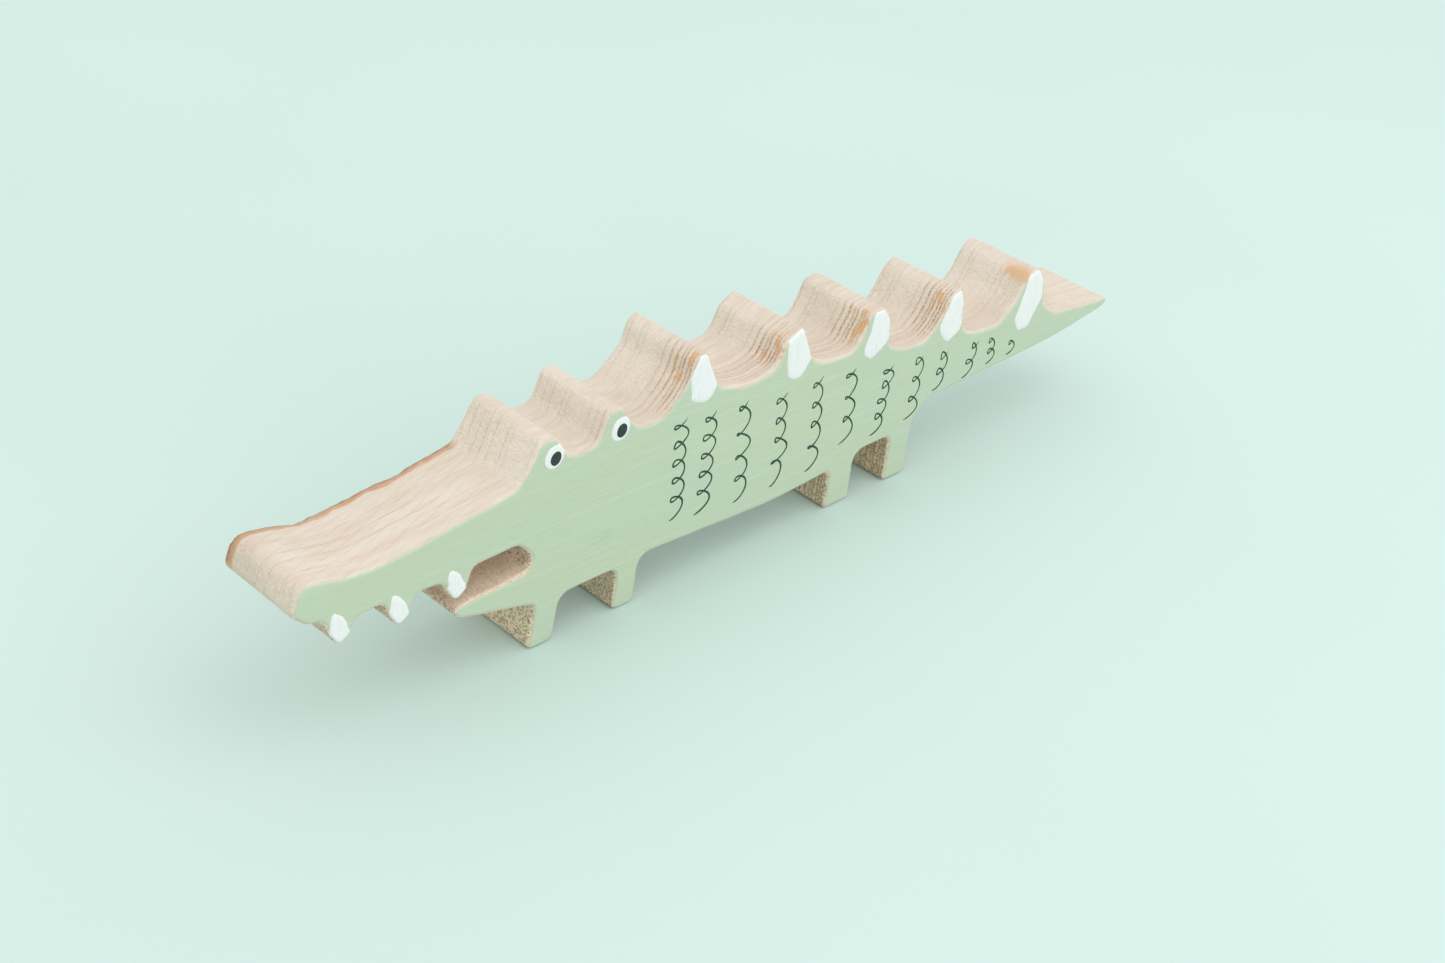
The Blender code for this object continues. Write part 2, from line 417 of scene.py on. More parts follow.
    def ring_stops(self) -> list[Pair]:
        """Place a rise, a peak and a fall on the ramp for each ring.

        Returns:
            Position and grey value of each stop, in order.
        """
        stops = []
        for depth, grey in self.rings:
            for offset, value in ((-self.ring_rise, 0.0), (0.0, grey), (self.ring_fall, 0.0)):
                stops.append(((depth + offset - self.first) / self.span, value))
        return stops

    def year_rings(self, mix: Recipe, x: Wire, y: Wire, wander: Wire) -> Wire:
        """Draw the year rings.

        Args:
            mix: The material.
            x: Place along the board.
            y: Place through the board.
            wander: How far the rings stray from their depths.

        Returns:
            The strength of the rings.
        """
        run = (self.level_from - x).math("MAXIMUM", 0.0)
        depth = y + wander + run * run * self.lean
        ramp = mix.node("ShaderNodeValToRGB", {"stops": self.ring_stops()},
                        {"Fac": (depth - self.first) * (1 / self.span)})
        pale = mix.node("ShaderNodeMath", {"operation": "PINGPONG"}, {0: depth, 1: self.pale_spacing})
        pale = pale.step(*self.pale_width) * depth.step(*self.pale_depth) * self.pale_strength
        dense = x.step(*self.dense_x) * (y + x * self.dense_slant).step(*self.dense_y)
        dense = dense * (1 - x.step(*self.thin_x) * self.thinning)
        drawn = ramp * (self.ring_strength + dense * self.dense_strength)
        drawn = drawn + pale * (1.1 - x.step(*self.tip) * 0.6)
        drawn = drawn * mix.patches(self.dots).lifted(self.dots_least)
        return drawn * mix.patches(self.fading).lifted(self.fading_least)

    def ground(self, mix: Recipe, coarse: Wire, gullet: Wire, steep: Wire, shade: Wire) -> Wire:
        """Colour the wood between its rings and pores.

        Args:
            mix: The material.
            coarse: Where the wood is coarse.
            gullet: Where the inside of the mouth is.
            steep: Where end grain shows.
            shade: Where the wood is darker: its own darker tone, and painted shade at the snout end.

        Returns:
            The colour.
        """
        long_grain = mix.blend(mix.patches(self.streak), self.long_grain, self.rosy_grain)
        end_grain = mix.blend(coarse, self.end_grain, self.porous)
        end_grain = mix.blend(gullet, end_grain, self.throat)
        colour = mix.blend(steep.math("MAXIMUM", gullet), long_grain, end_grain)
        return mix.blend(shade, colour, self.shadow)

    def stained(self, mix: Recipe, colour: Wire, normal_x: Wire) -> Wire:
        """Add the ochre stains on the front flank of each plate.

        Args:
            mix: The material.
            colour: The colour under them.
            normal_x: Slope of the surface along the board.

        Returns:
            The colour with the stains.
        """
        x, y, z = mix.axes(mix.place)
        flank = normal_x.step(*self.stain_slope) * x.step(*self.stain_x) * z.step(*self.stain_z)
        last = x.step(*self.last_plate)
        near_front = (y - last * self.last_reach).step(*self.stain_y)
        blot = self.stain.fade(mix.noise(self.stain) + last * self.last_spread)
        return mix.blend(flank * near_front * blot * self.stain_strength, colour, self.ochre)

    def make(self) -> bpy.types.Material:
        """Mix the wood, solid through the board.

        Returns:
            The material.
        """
        mix = Recipe("bare_wood")
        x, y, z = mix.axes(mix.place)
        normal_x, _, _ = mix.axes(mix.normal)
        steep = abs(normal_x).step(*self.steep)
        gullet = x.step(*self.gullet_x) * z.step(*self.gullet_z)
        coarse = z.step(*self.low).math("MAXIMUM", gullet)
        fibre, hatch = mix.noise(self.fibre), mix.noise(self.hatch)
        # Darkening: the saw hatch, fibre and grime are the wood's own tone; the snout end term is painted
        # shade.
        shade = (self.hatch.fade(hatch) * steep * self.hatch_shade
                 + self.fibre.fade(fibre) * self.fibre_shade
                 + mix.patches(self.grime) * self.grime_shade + x.step(*self.tip) * self.painted_snout_end_shade)
        colour = self.ground(mix, coarse, gullet, steep, shade)

        holes = (mix.patches(self.fine_holes) * self.fine_strength
                 + coarse * mix.patches(self.wide_holes) * self.wide_strength)
        pores = holes * steep.math("MAXIMUM", gullet * self.gullet_strength)
        colour = mix.blend(pores, colour, self.pore)
        sway, ripple = mix.swing(self.sway, self.sway_reach), mix.swing(self.ripple, self.ripple_reach)
        rings = self.year_rings(mix, x, y, sway + ripple) * steep.lifted(self.flat_strength)
        colour = mix.blend(rings, colour, self.ring)
        broken = mix.patches(self.broken) * x.step(*self.snout) * self.line_strength
        for place in self.snout_lines:
            line = abs(y + sway * 0.6 + ripple * 0.5 - place).step(*self.line_width)
            colour = mix.blend(line * broken, colour, self.ring)
        colour = self.stained(mix, colour, normal_x)

        waver = mix.swing(self.waver, self.waver_reach)
        wane = (y + waver * 0.8).step(*self.wane_y) * x.step(*self.wane_x) * z.step(*self.wane_z)
        bark = mix.blend((y + waver * 0.5).step(*self.rim), self.wane_brown, self.bark)
        streaks = fibre.step(*self.wane_fibre) * self.wane_streaks
        colour = mix.blend(wane * (self.wane_strength + streaks), colour, bark)

        relief = (0.5 + hatch * steep * 0.45 + fibre * 0.25) - pores * 0.5 - rings * 0.35
        roughness = self.dullness + fibre * 0.16 - wane * 0.2
        return mix.finish(colour, roughness, relief, self.relief_depth, self.shine)


@dataclass(frozen=True)
class BrushedGreen:
    """Matt sage paint, brushed along the board so that the grain shows through."""

    body: Colour = (0.468, 0.562, 0.425)
    yellowed: Colour = (0.480, 0.562, 0.402)
    pale: Colour = (0.530, 0.615, 0.500)
    dark: Colour = (0.350, 0.500, 0.350)
    nicked: Colour = (0.120, 0.230, 0.130)
    cloud: Grain = Grain((0.018, 0.5, 0.045), 3.0, 0.55, low=0.42, high=0.62)
    strokes: Grain = Grain((0.045, 0.5, 1.5), 3.0, 0.62, 4.0, 0.44, 0.70)
    grain: Grain = Grain((0.10, 0.5, 3.4), 3.0, 0.7, 8.0, 0.46, 0.26)
    dashes: Grain = Grain((0.55, 0.5, 3.4), 3.0, 0.7, 19.0, 0.58, 0.66)
    nicks: Grain = Grain((0.30, 0.5, 1.1), 3.0, 0.7, 15.0, 0.715, 0.76)
    wisps: Grain = Grain((0.25, 0.5, 1.6), 3.0, 0.7, 23.0, 0.47, 0.56)
    stroke_strength: float = 0.45
    grain_strength: float = 0.28
    dash_strength: float = 0.42
    nick_strength: float = 0.5
    scratch_strength: float = 0.50
    scratch_x: tuple[Pair, Pair] = ((-66.0, -63.0), (-56.0, -58.5))
    scratch_z: tuple[Pair, Pair] = ((22.5, 23.5), (26.5, 25.5))
    dullness: float = 0.62
    relief_depth: float = 0.00012

    def make(self) -> bpy.types.Material:
        """Mix the face paint.

        Returns:
            The material.
        """
        mix = Recipe("face_green")
        strokes, grain = mix.noise(self.strokes), mix.noise(self.grain)
        colour = mix.blend(mix.patches(self.cloud), self.body, self.yellowed)
        colour = mix.blend(self.strokes.fade(strokes) * self.stroke_strength, colour, self.pale)
        colour = mix.blend(self.grain.fade(grain) * self.grain_strength, colour, self.dark)
        colour = mix.blend(mix.patches(self.dashes) * self.dash_strength, colour, self.dark)
        colour = mix.blend(mix.patches(self.nicks) * self.nick_strength, colour, self.nicked)
        x, _, z = mix.axes(mix.place)
        scratch = x.between(*self.scratch_x) * z.between(*self.scratch_z) * mix.patches(self.wisps)
        colour = mix.blend(scratch * self.scratch_strength, colour, self.dark)
        relief = strokes * 0.6 + grain * 0.4
        return mix.finish(colour, self.dullness + strokes * 0.14, relief, self.relief_depth)


@dataclass(frozen=True)
class WhiteDabs:
    """Thick off-white paint with bristle furrows that run up the dab."""

    body: Colour = (0.780, 0.785, 0.785)
    thin: Colour = (0.640, 0.730, 0.680)
    furrows: Grain = Grain((2.4, 0.5, 0.16), 2.0, 0.6, low=0.48, high=0.28)
    film: Grain = Grain((0.5, 0.5, 0.25), 3.0, 0.6, 6.0, 0.5, 0.3)
    furrow_strength: float = 0.5
    film_strength: float = 0.15
    dullness: float = 0.44
    relief_depth: float = 0.00018
    shine: float = 0.4

    def make(self) -> bpy.types.Material:
        """Mix the white paint.

        Returns:
            The material.
        """
        mix = Recipe("white_paint")
        furrows = mix.noise(self.furrows)
        thin = (self.furrows.fade(furrows) * self.furrow_strength
                + mix.patches(self.film) * self.film_strength)
        colour = mix.blend(thin, self.body, self.thin)
        return mix.finish(colour, self.dullness + furrows * 0.2, furrows, self.relief_depth, self.shine)


@dataclass(frozen=True)
class DarkPaint:
    """Near-black green paint or ink, a little uneven where it pooled."""

    name: str
    body: Colour
    faded: Colour
    cells: float                 # of unevenness, per millimetre
    dullness: float = 0.6
    relief_depth: float = 0.00004
    shine: float = 0.4

    def make(self) -> bpy.types.Material:
        """Mix the dark finish.

        Returns:
            The material.
        """
        mix = Recipe(self.name)
        grain = Grain((self.cells, self.cells, self.cells), 3.0, 0.6, low=0.35, high=0.70)
        pool = mix.noise(grain)
        colour = mix.blend(grain.fade(pool), self.body, self.faded)
        return mix.finish(colour, self.dullness + pool * 0.15, pool, self.relief_depth, self.shine)


@dataclass(frozen=True)
class Tabletop:
    """The plain pale surface that the figure stands on."""

    body: Colour = (0.530, 0.670, 0.635)
    cloud: Colour = (0.545, 0.685, 0.650)
    drift: Grain = Grain((0.004, 0.004, 0.004), low=0.3, high=0.7)
    dullness: float = 0.85
    relief_depth: float = 0.00001
    shine: float = 0.1

    def make(self) -> bpy.types.Material:
        """Mix the tabletop's finish.

        Returns:
            The material.
        """
        mix = Recipe("tabletop")
        drift = mix.noise(self.drift)
        colour = mix.blend(self.drift.fade(drift), self.body, self.cloud)
        return mix.finish(colour, self.dullness + drift * 0.05, drift, self.relief_depth, self.shine)


# --------------------------------------------------
# Outlines
# --------------------------------------------------

class Outline:
    """A closed ring in the XZ plane, in millimetres, evenly spaced and wound anticlockwise."""

    def __init__(self, points: np.ndarray, spacing: float, softness: float) -> None:
        """Resample and soften a ring.

        Args:
            points: Corners in order, one row each.
            spacing: Distance wanted between points.
            softness: Length over which corners are evened out.
        """
        following = np.roll(points, -1, axis=0)
        if (points[:, 0] * following[:, 1] - following[:, 0] * points[:, 1]).sum() < 0:
            points = points[::-1]
        closed = np.vstack([points, points[:1]])
        reach = np.concatenate([[0.0], np.cumsum(np.linalg.norm(np.diff(closed, axis=0), axis=1))])
        count = max(24, int(reach[-1] / spacing))
        at = np.arange(count) * reach[-1] / count
        even = np.stack([np.interp(at, reach, closed[:, axis]) for axis in (0, 1)], axis=1)
        step = reach[-1] / count
        width = max(1, int(softness / step))
        for _ in range(2):
            even = sum(np.roll(even, k, axis=0) for k in range(-width, width + 1)) / (2 * width + 1)
        self.points = even
        self.step = step
        ahead, behind = np.roll(even, -1, axis=0), np.roll(even, 1, axis=0)
        along = ahead - behind
        along /= np.linalg.norm(along, axis=1)[:, None]
        self.outward = np.stack([along[:, 1], -along[:, 0]], axis=1)
        self.room = self.inner_room()

    def inner_room(self) -> np.ndarray:
        """Find the largest circle that touches the ring at each point from inside.

        Returns:
            How far each point can move inwards before it meets another part of the ring.
        """
        gap = self.points[:, None, :] - self.points[None, :, :]
        facing = (gap * self.outward[:, None, :]).sum(axis=2)
        square = (gap ** 2).sum(axis=2)
        radius = np.where(facing > 1e-6, square / (2 * np.maximum(facing, 1e-6)), OPEN_RADIUS)
        room = radius.min(axis=1)
        low = np.min([np.roll(room, k) for k in range(-3, 4)], axis=0)
        return sum(np.roll(low, k) for k in range(-3, 4)) / 7 * SAFE_SHARE

    def moved_in(self, distance: np.ndarray) -> np.ndarray:
        """Return the ring's points moved inwards."""
        return self.points - self.outward * distance[:, None]


def node_outline(name: str, spacing: float, softness: float) -> Outline:
    """Read the outer outline of a flat CAD node.

    Args:
        name: The node.
        spacing: Distance between points, in millimetres.
        softness: Length over which corners are evened out, in millimetres.

    Returns:
        The outline.
    """
    mesh = bmesh.new()
    mesh.from_mesh(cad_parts[name].data)
    bmesh.ops.remove_doubles(mesh, verts=mesh.verts, dist=0.01 * MM)
    low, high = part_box(name)
    middle = (low[1] + high[1]) / 2
    next_to: dict[int, list[int]] = {}
    for edge in mesh.edges:
        walls = sum(abs(face.normal.y) < 0.3 for face in edge.link_faces)
        if walls == 1 and all(vert.co.y < middle for vert in edge.verts):
            a, b = (vert.index for vert in edge.verts)
            next_to.setdefault(a, []).append(b)
            next_to.setdefault(b, []).append(a)
    mesh.verts.ensure_lookup_table()
    rings = []
    unused = set(next_to)
    while unused:
        ring = [unused.pop()]
        for _ in range(2):
            while onward := [v for v in next_to[ring[-1]] if v in unused]:
                ring.append(onward[0])
                unused.discard(onward[0])
            ring.reverse()
        rings.append(np.array([(mesh.verts[v].co.x, mesh.verts[v].co.z) for v in ring]) / MM)
    mesh.free()
    outer = max(rings, key=lambda ring: np.ptp(ring[:, 0]))
    return Outline(outer, spacing, softness)


# --------------------------------------------------
# Meshes
# --------------------------------------------------

def rough(x: float, y: float, z: float, scale: float, seed: float = 0.0) -> float:
    """Return smooth noise between -1 and 1 at a place.

    Args:
        x: Place along the board.
        y: Place through the board.
        z: Height.
        scale: Cells per millimetre.
        seed: Picks another pattern.

    Returns:
        The value.
    """
    return noise.noise(Vector((x * scale + seed, y * scale - seed, z * scale + seed * 0.5)))


def lofted(name: str, rings: list[np.ndarray], material: bpy.types.Material) -> bpy.types.Object:
    """Join closed rings of equal length into one closed body.

    Args:
        name: The piece's name.
        rings: Each ring's points in millimetres, as rows of x, y and z.
        material: Its finish.

    Returns:
        The piece.
    """
    mesh = bmesh.new()
    rows = [[mesh.verts.new(tuple(point * MM)) for point in ring] for ring in rings]
    count = len(rows[0])
    for lower, upper in zip(rows, rows[1:]):
        for i in range(count):
            j = (i + 1) % count
            mesh.faces.new((lower[i], lower[j], upper[j], upper[i]))
    for cap in (rows[0], rows[-1]):
        mesh.faces.new(cap)
    mesh.normal_update()
    caps = [face for face in mesh.faces if len(face.verts) > 4]
    bmesh.ops.triangulate(mesh, faces=caps, ngon_method="EAR_CLIP")
    bmesh.ops.recalc_face_normals(mesh, faces=mesh.faces)
    data = bpy.data.meshes.new(name)
    mesh.to_mesh(data)
    mesh.free()
    data.shade_smooth()
    data.set_sharp_from_angle(angle=math.radians(50))
    data.materials.append(material)
    piece = bpy.data.objects.new(name, data)
    bpy.context.scene.collection.objects.link(piece)
    return piece


def hand_over(piece: bpy.types.Object, slot: str, *nodes: str) -> None:
    """Make a piece ride on the figure and stand for its CAD nodes.

    Args:
        piece: The piece.
        slot: The record's material slot; not used.
        nodes: The nodes it replaces.
    """
    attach(piece, BODY)
    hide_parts(*nodes)
    LOG.info("%s: %d faces, stands for %s", piece.name, len(piece.data.polygons), ", ".join(nodes))


def flat_rows(points: np.ndarray, depth: np.ndarray | float) -> np.ndarray:
    """Return XZ points as XYZ rows at a depth."""
    y = np.broadcast_to(depth, len(points))
    return np.stack([points[:, 0], y, points[:, 1]], axis=1)


@dataclass
class Board:
    """The one piece of wood, with softened arrises and a waney edge on the snout."""

    half: float = 12.35          # half of its thickness
    arris: float = 0.95
    margin: float = 0.30         # bare rim left outside every dab
    flat_rim: float = 0.5        # width of the flat ring just inside the arris
    arris_steps: int = 6
    wall_steps: int = 22
    spacing: float = 0.75
    softness: float = 0.8
    wander: float = 0.22         # how far the saw strayed
    steady_foot: float = 3.0     # height up to which the feet are kept flat
    wane_depth: float = 3.4      # how far the bark edge reaches in, where it is widest
    wane_start: float = -90.0
    wane_fade: float = 8.0       # length over which it comes up
    wane_slope: float = 0.22
    wane_curve: float = 0.06
    outline: Outline = field(init=False)
    rounding: np.ndarray = field(init=False)

    def __post_init__(self) -> None:
        """Read the outline and find how round the arris can be at each point of it."""
        self.outline = node_outline("board", self.spacing, self.softness)
        self.rounding = np.minimum(self.arris, self.outline.room * 0.7)

    def surface(self, inset: np.ndarray) -> np.ndarray:
        """Return how far from the middle the wood's face is at a distance in from the outline."""
        return self.height(inset, self.rounding)

    def height(self, inset: np.ndarray, rounding: np.ndarray) -> np.ndarray:
        """Return the same where the arris has the given rounding."""
        curve = np.clip(rounding - inset, 0.0, rounding)
        return self.half - rounding + np.sqrt(rounding ** 2 - curve ** 2)

    def laid_on(self, points: np.ndarray) -> tuple[np.ndarray, np.ndarray]:
        """Lay points on the face, over the rounding where they come near the outline.

        Args:
            points: Places in the XZ plane, in millimetres.

        Returns:
            The points, kept inside the outline, and the wood's distance from the middle there.
        """
        ring = self.outline.points
        near = ((points[:, None, :] - ring[None, :, :]) ** 2).sum(axis=2).argmin(axis=1)
        outward = self.outline.outward[near]
        inset = ((ring[near] - points) * outward).sum(axis=1)
        kept = points + outward * np.minimum(inset - self.margin, 0.0)[:, None]
        return kept, self.height(np.maximum(inset, self.margin), self.rounding[near])

    def stations(self) -> list[tuple[np.ndarray, np.ndarray]]:
        """List the rings that the board is made from, from the front face to the back face.

        Returns:
            Each ring's insets from the outline and depths through the board.
        """
        rim = np.minimum(self.rounding + self.flat_rim, self.outline.room)
        face = [(rim, np.full_like(rim, self.half))]
        for k in range(self.arris_steps + 1):
            turn = math.pi / 2 * k / self.arris_steps
            face.append((self.rounding * (1 - math.sin(turn)),
                         self.half - self.rounding * (1 - math.cos(turn))))
        straight = self.half - self.rounding
        front = [(inset, -depth) for inset, depth in face]
        middle = [(np.zeros_like(straight), -straight * (1 - 2 * k / self.wall_steps))
                  for k in range(1, self.wall_steps)]
        back = [(inset, depth) for inset, depth in reversed(face)]
        return front + middle + back

    def wane(self, x: float, y: float, nz: float) -> float:
        """Shape the bark edge along the top of the snout.

        Args:
            x: Place along the board.
            y: Place through the board.
            nz: Height part of the outline's outward direction there.

        Returns:
            How far the wood falls away.
        """
        if x > self.wane_start or nz < 0.5:
            return 0.0
        swell, nibble = rough(x, 0, 0, 0.11, 4.0), rough(x, 0, 0, 0.45, 8.0)
        reach = self.wane_depth * (0.55 + 0.45 * swell + 0.25 * nibble)
        fade = min(1.0, (self.wane_start - x) / self.wane_fade)
        inside = max(0.0, y - (self.half - max(reach, 0.0)))
        return (inside * self.wane_slope + inside ** 2 * self.wane_curve) * fade

    def build(self, wood: bpy.types.Material) -> bpy.types.Object:
        """Return the finished board.

        Args:
            wood: Its finish.

        Returns:
            The piece.
        """
        ring_list = []
        for inset, depth in self.stations():
            points = self.outline.moved_in(inset)
            rows = flat_rows(points, depth)
            for i, (x, y, z) in enumerate(rows):
                nx, nz = self.outline.outward[i]
                blend = 1.0 - (y / self.half) ** 4
                stray = self.wander * (rough(x, y, z, 0.055, 2.0) * 0.8 + rough(x, y, z, 0.22, 6.0) * 0.35)
                lift = stray * blend * min(1.0, z / self.steady_foot)
                rows[i, 0] += nx * lift
                rows[i, 2] += nz * lift - self.wane(x, y, nz)
            ring_list.append(rows)
        piece = lofted("sawn_board", ring_list, wood)
        hand_over(piece, "bare_wood", "board")
        return piece


@dataclass
class GreenCoat:
    """The face colour, which thins out unevenly over the arris."""

    board: Board
    side: Side
    film: float = 0.15
    edge: float = 0.62           # how far in from the outline it starts
    ragged: float = 0.42
    least: float = 0.15          # the nearest that it comes to the outline
    most: float = 1.4
    swell_cells: float = 0.16    # of its wavy edge, per millimetre
    nibble_cells: float = 0.7
    root: float = 0.35           # how far its underside is set into the wood
    wane_cover: float = 1.2      # how far it draws back, for each unit that the bark edge falls

    def build(self, paint: bpy.types.Material) -> bpy.types.Object:
        """Return the coat on its face.

        Args:
            paint: Its finish.

        Returns:
            The piece.
        """
        outline = self.board.outline
        seed = 20.0 + self.side.value
        raw = np.array([rough(x, 0, z, self.swell_cells, seed)
                        + 0.5 * rough(x, 0, z, self.nibble_cells, seed * 2) for x, z in outline.points])
        start = np.clip(self.edge + self.ragged * raw, self.least, self.most)
        start = start * self.board.rounding / self.board.arris
        if self.side is Side.BACK:
            start = start + np.array([self.board.wane(x, self.board.half, normal_z) * self.wane_cover
                                      for (x, _), (_, normal_z) in zip(outline.points, outline.outward)])
        profile = ((0.0, -self.root), (0.0, -0.02), (0.10, 0.6 * self.film), (0.30, self.film),
                   (0.70, self.film), (1.3, self.film))
        rings = []
        for extra, height in profile:
            inset = np.minimum(start + extra, outline.room * (0.9 + 0.05 * extra))
            depth = self.board.surface(inset) + height
            rings.append(flat_rows(outline.moved_in(inset), self.side.value * depth))
        piece = lofted(f"{self.side.label}_green_coat", rings, paint)
        hand_over(piece, "face_green", f"{self.side.label}_face_colour")
        return piece


@dataclass
class Dab:
    """One thick spot of paint, domed and furrowed by the brush."""

    board: Board
    side: Side
    name: str
    node: str
    slot: str
    crown: float = 0.28
    furrow: float = 0.07
    ragged: float = 0.16
    spread: float = 0.0          # how far it reaches past its CAD outline
    growth: float = 1.0          # scale about its middle, which keeps its points sharp
    base: float = 0.12           # what lies under it, above the wood
    rings: int = 13
    crowding: float = 1.15       # draws its rings together near the edge
    shoulder: float = 3.2        # how soon it reaches its full height, going in
    swell_cells: float = 0.45    # of its wavy edge, per millimetre
    nibble_cells: float = 1.6
    bristle_cells: Pair = (1.65, 0.1925)     # of its furrows, across the dab and up it

    def build(self, paint: bpy.types.Material) -> bpy.types.Object:
        """Return the spot of paint.

        Args:
            paint: Its finish.

        Returns:
            The piece.
        """
        outline = node_outline(self.node, 0.2, 0.1)
        centre = outline.points.mean(axis=0)
        seed = centre[0] * 0.37 + self.side.value
        edge = centre + (outline.points - centre) * self.growth + outline.outward * self.spread
        for i, (x, z) in enumerate(edge):
            swell = rough(x, 0, z, self.swell_cells, seed) + 0.6 * rough(x, 0, z, self.nibble_cells, seed)
            edge[i] = edge[i] + outline.outward[i] * self.ragged * swell
        edge, level = self.board.laid_on(edge)
        rows = [flat_rows(edge, self.side.value * (level - 0.5))]
        for k in range(self.rings):
            t = k / self.rings
            points, level = self.board.laid_on(centre + (edge - centre) * (1 - t ** self.crowding))
            rise = self.crown * math.sin(min(1.0, t * self.shoulder) * math.pi / 2) ** 0.7
            depth = level + self.base
            if k:
                across, up = self.bristle_cells
                depth += [rise + self.furrow * min(1.0, t * 4) * rough(x * across, 0, z * up, 1.0, seed)
                          for x, z in points]
            rows.append(flat_rows(points, self.side.value * depth))
        piece = lofted(self.name, rows, paint)
        hand_over(piece, self.slot, self.node)
        return piece


@dataclass
class PenLoops:
    """One run of looping pen line down the flank."""

    board: Board
    side: Side
    number: int
    curls: int
    width: float = 0.70
    height: float = 0.05
    swing_share: float = 0.42    # half width of a loop, as a share of the drop from loop to loop
    curl_share: float = 0.40     # half height of a loop, likewise
    reach: float = 2.0           # most that either of them may be
    pinch: float = 0.16          # how much further the arcs swing out than the loops
    upright: float = 2.5         # width of the CAD node of a run that doesn't lean
    set_back: float = 1.1        # shift of the run's foot to the tail, and of its top to the head
    first_turn: float = 0.08     # where in a turn the pen touches down
    last_arc: float = 0.34       # part of a turn after the last loop
    flick: float = 1.2           # how far the end of the line is swept aside
    unsteady: float = 0.55
    hand_rate: float = 1.2       # how often the hand's sweep changes, for each loop
    pace_rate: float = 0.6       # how often its pace changes
    base: float = 0.13           # foot of the line above the wood
    climb: float = 0.0004        # rise from step to step, so that the line passes over itself
    taper: int = 3               # steps over which each end narrows
    steps: int = 30              # for each loop
    faces: int = 6

    def path(self) -> np.ndarray:
        """Work out the pen's way down the flank, from its CAD node's box.

        Returns:
            Points in the XZ plane, in millimetres.
        """
        low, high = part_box(f"{self.side.label}_pen_loops_{self.number}")
        low, high = np.array(low) / MM, np.array(high) / MM
        middle = (low[0] + high[0]) / 2
        lean = (high[0] - low[0] - self.upright) / 2
        lean = math.copysign(max(lean, 0.0), LEANS[self.number - 1]) - self.set_back
        turns = self.curls + self.last_arc - self.first_turn
        begin, end = (2 * math.pi * part for part in (self.first_turn, self.last_arc))
        drop = (high[2] - low[2]) / (turns + self.curl_share * (math.sin(end) - math.sin(begin)))
        swing, curl = min(self.swing_share * drop, self.reach), min(self.curl_share * drop, self.reach)
        count = int(self.steps * turns)
        line = []
        for k in range(count + 1):
            t = k / count
            hand = rough(t * turns * self.hand_rate, self.number * 3.3, 0, 1.0, 3.0) * self.unsteady
            pace = rough(t * turns * self.pace_rate, 0, self.number * 2.7, 1.0, 5.0) * self.unsteady
            turn = begin + 2 * math.pi * turns * t
            sweep = math.cos(turn) + self.pinch * math.cos(2 * turn)
            last = max(0.0, turn / (2 * math.pi) - self.curls) / self.last_arc
            x = middle + lean * (1 - 2 * t) + swing * (1 + hand) * sweep + pace - self.flick * last ** 2
            rise = curl * (1 - hand * 0.6) * (math.sin(turn) - math.sin(begin))
            line.append((x, high[2] - drop * turns * t - rise + pace * drop * 0.4))
        return np.array(line)

    def build(self, ink: bpy.types.Material) -> bpy.types.Object:
        """Return the pen line as a low round-backed bead.

        Args:
            ink: Its finish.

        Returns:
            The piece.
        """
        line = self.path()
        along = np.gradient(line, axis=0)
        along /= np.linalg.norm(along, axis=1)[:, None]
        across = np.stack([-along[:, 1], along[:, 0]], axis=1)
        foot = self.board.half + self.base
        rings = []
        for k, (x, z) in enumerate(line):
            press = 0.85 + 0.25 * rough(x, self.number, z, 0.35, 9.0)
            end = min(1.0, (k + 0.6) / self.taper, (len(line) - k - 0.4) / self.taper)
            half = self.width / 2 * press * end
            ring = []
            for f in range(self.faces):
                angle = 2 * math.pi * (f + 0.5) / self.faces
                shift = across[k] * half * math.cos(angle)
                depth = foot + self.height * math.sin(angle) + self.climb * k
                ring.append((x + shift[0], self.side.value * depth, z + shift[1]))
            rings.append(np.array(ring))
        piece = lofted(f"{self.side.label}_pen_line_{self.number}", rings, ink)
        hand_over(piece, "pen_ink", f"{self.side.label}_pen_loops_{self.number}")
        return piece


@dataclass
class Decoration:
    """Every coat on one face of the board."""

    board: Board
    side: Side
    green: bpy.types.Material
    white: bpy.types.Material
    pupil: bpy.types.Material
    ink: bpy.types.Material

    def dab(self, name: str, node: str, slot: str, paint: bpy.types.Material, **sizes: float) -> None:
        """Lay one spot of paint."""
        label = self.side.label
        Dab(self.board, self.side, f"{label}_{name}", f"{label}_{node}", slot, **sizes).build(paint)

    def build(self) -> None:
        """Lay every coat, from the ground colour up."""
        GreenCoat(self.board, self.side).build(self.green)
        for i in range(1, 4):
            self.dab(f"tooth_paint_{i}", f"tooth_{i}", "white_paint", self.white, spread=0.12,
                     growth=1.22, ragged=0.26)
        for i in range(1, 6):
            self.dab(f"plate_dab_{i}", f"plate_tip_{i}", "white_paint", self.white, spread=0.7,
                     ragged=0.26)
        for i in (1, 2):
            self.dab(f"eye_{i}", f"eye_white_{i}", "white_paint", self.white, crown=0.2, furrow=0.03,
                     ragged=0.10)
            self.dab(f"pupil_dot_{i}", f"pupil_{i}", "pupil_paint", self.pupil, base=0.30, crown=0.14,
                     furrow=0.02, ragged=0.08)
        for number, curls in enumerate(CURLS, start=1):
            PenLoops(self.board, self.side, number, curls).build(self.ink)


# --------------------------------------------------
# Studio
# --------------------------------------------------

@dataclass(frozen=True)
class Lamp:
    """A square soft light aimed at the figure."""

    name: str
    place: tuple[float, float, float]    # in metres
    size: float                          # side of the square, in metres
    power: float                         # in watts

    def build(self) -> None:
        """Hang the lamp."""
        data = bpy.data.lights.new(self.name, "AREA")
        data.size = self.size
        data.energy = self.power
        light = bpy.data.objects.new(self.name, data)
        light.location = self.place
        light.rotation_euler = (-Vector(self.place)).to_track_quat("-Z", "Y").to_euler()
        bpy.context.scene.collection.objects.link(light)


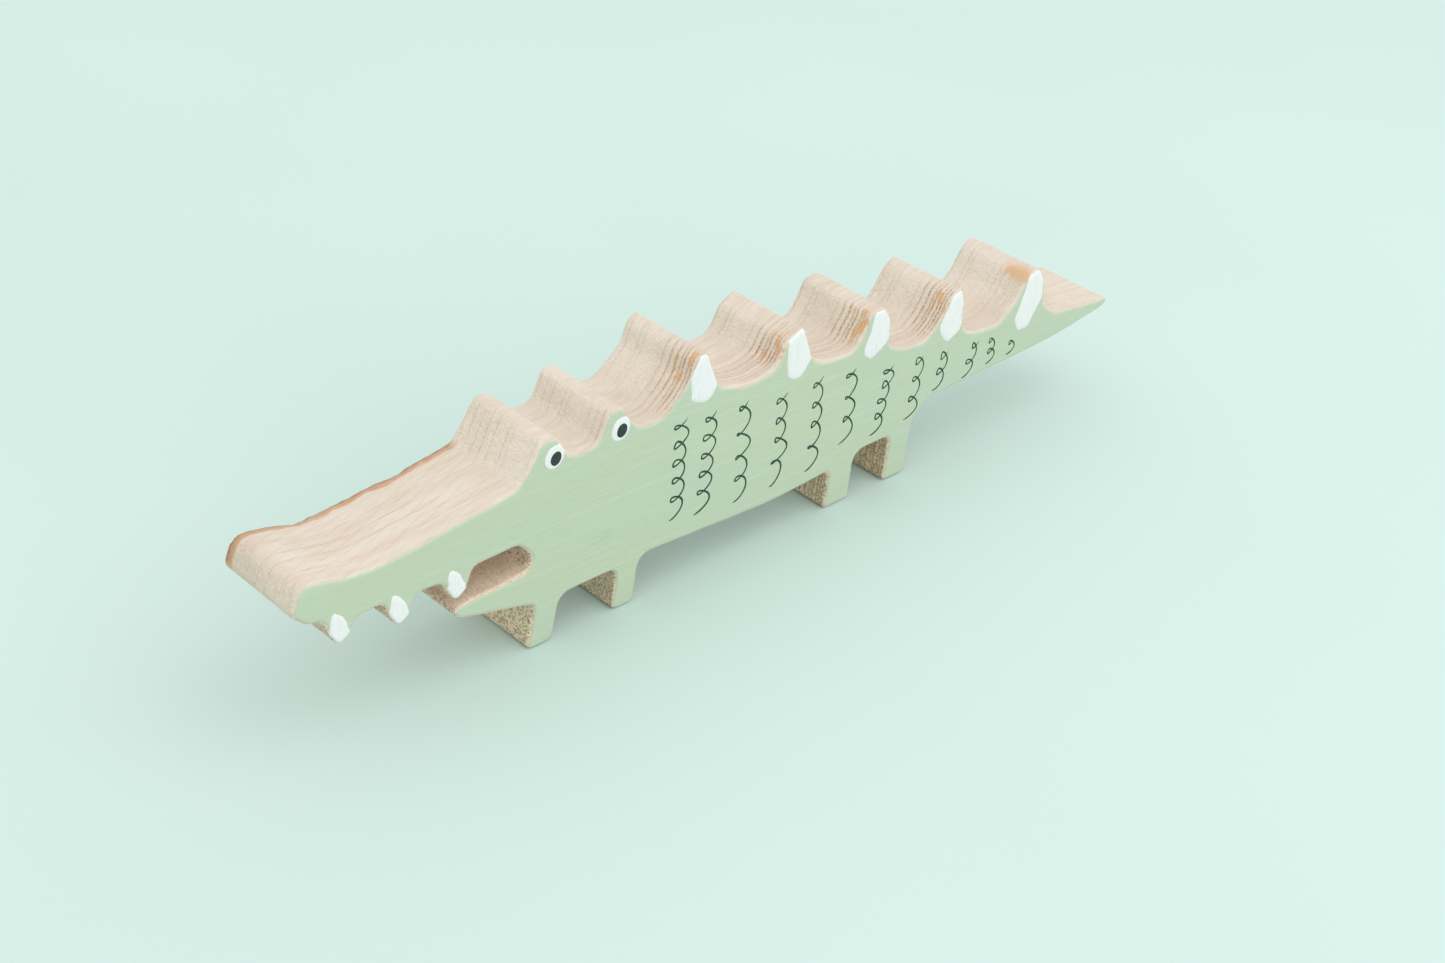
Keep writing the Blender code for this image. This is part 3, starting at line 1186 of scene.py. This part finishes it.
@dataclass
class Studio:
    """Pale tabletop, soft light and the camera."""

    eye: tuple[float, float, float] = (-0.3482, -0.2910, 0.2916)
    heading: float = 49.77       # degrees from +Y towards +X
    tilt: float = 31.70          # degrees below the horizon
    roll: float = 7.96
    lens: float = 50.0
    sensor: float = 36.0
    table: float = 30.0          # side of the tabletop, in metres
    air: Colour = (1.0, 0.995, 0.985)
    air_strength: float = 1.14
    lamps: tuple[Lamp, ...] = (Lamp("key", (0.45, -0.75, 1.35), 1.4, 5.0),
                               Lamp("fill", (-0.2, -1.3, 0.5), 0.9, 2.0))

    def camera(self) -> None:
        """Set up the camera."""
        heading, tilt, roll = (math.radians(v) for v in (self.heading, self.tilt, self.roll))
        ahead = Vector((math.sin(heading) * math.cos(tilt), math.cos(heading) * math.cos(tilt),
                        -math.sin(tilt)))
        level = Vector((math.cos(heading), -math.sin(heading), 0.0))
        upward = level.cross(ahead)
        right = level * math.cos(roll) + upward * math.sin(roll)
        up = right.cross(ahead)
        turn = Matrix((right, up, -ahead)).transposed().to_4x4()
        data = bpy.data.cameras.new("camera")
        data.lens = self.lens
        data.sensor_width = self.sensor
        data.clip_start = 0.01
        camera = bpy.data.objects.new("camera", data)
        camera.matrix_world = Matrix.Translation(self.eye) @ turn
        bpy.context.scene.collection.objects.link(camera)
        bpy.context.scene.camera = camera

    def tabletop(self) -> None:
        """Lay the tabletop."""
        mesh = bmesh.new()
        bmesh.ops.create_grid(mesh, x_segments=2, y_segments=2, size=self.table / 2)
        data = bpy.data.meshes.new("tabletop")
        mesh.to_mesh(data)
        mesh.free()
        data.materials.append(Tabletop().make())
        floor = bpy.data.objects.new("tabletop", data)
        bpy.context.scene.collection.objects.link(floor)

    def room(self) -> None:
        """Fill the room with soft light."""
        world = bpy.data.worlds.new("soft_room")
        world.use_nodes = True
        background = world.node_tree.nodes["Background"]
        background.inputs["Color"].default_value = (*self.air, 1.0)
        background.inputs["Strength"].default_value = self.air_strength
        bpy.context.scene.world = world
        bpy.context.scene.view_settings.view_transform = "Standard"

    def build(self) -> None:
        """Lay the tabletop, light it and set the camera."""
        self.tabletop()
        self.room()
        for lamp in self.lamps:
            lamp.build()
        self.camera()


def main() -> None:
    """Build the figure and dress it."""
    Studio().build()
    board = Board()
    board.build(BareWood().make())
    green, white = BrushedGreen().make(), WhiteDabs().make()
    pupil = DarkPaint("pupil_paint", (0.014, 0.028, 0.027), (0.024, 0.042, 0.040), cells=0.6).make()
    ink = DarkPaint("pen_ink", (0.003, 0.040, 0.019), (0.010, 0.078, 0.038), cells=0.25).make()
    for side in Side:
        Decoration(board, side, green, white, pupil, ink).build()


if __name__ == "__main__":
    main()
